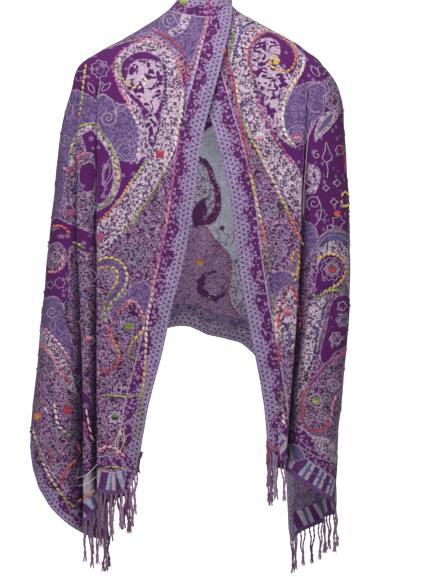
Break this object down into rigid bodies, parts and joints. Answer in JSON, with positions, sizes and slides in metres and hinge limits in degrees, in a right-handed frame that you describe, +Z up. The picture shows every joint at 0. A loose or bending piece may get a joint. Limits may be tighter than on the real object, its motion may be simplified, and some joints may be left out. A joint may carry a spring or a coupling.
{
  "type": "shawl",
  "caption": "Woven wool shawl worn over the shoulders, open down the front, its ends hanging in folds with knotted fringe.",
  "frame": {"origin": "between the shoulders, where the wearer carries the cloth", "axes": "+Z up, the front faces -Y, +X towards the right of a viewer who faces the shawl"},
  "size_m": [0.5656, 0.2585, 1.0562],
  "materials": {
    "cloth": "soft woven wool, matt, patterned",
    "fringe": "twisted wool yarn, matt"
  },
  "bodies": {
    "root": {"left_front": "cloth", "back": "cloth", "right_front": "cloth", "fringe_left": "fringe", "fringe_right": "fringe"}
  },
  "joints": []
}
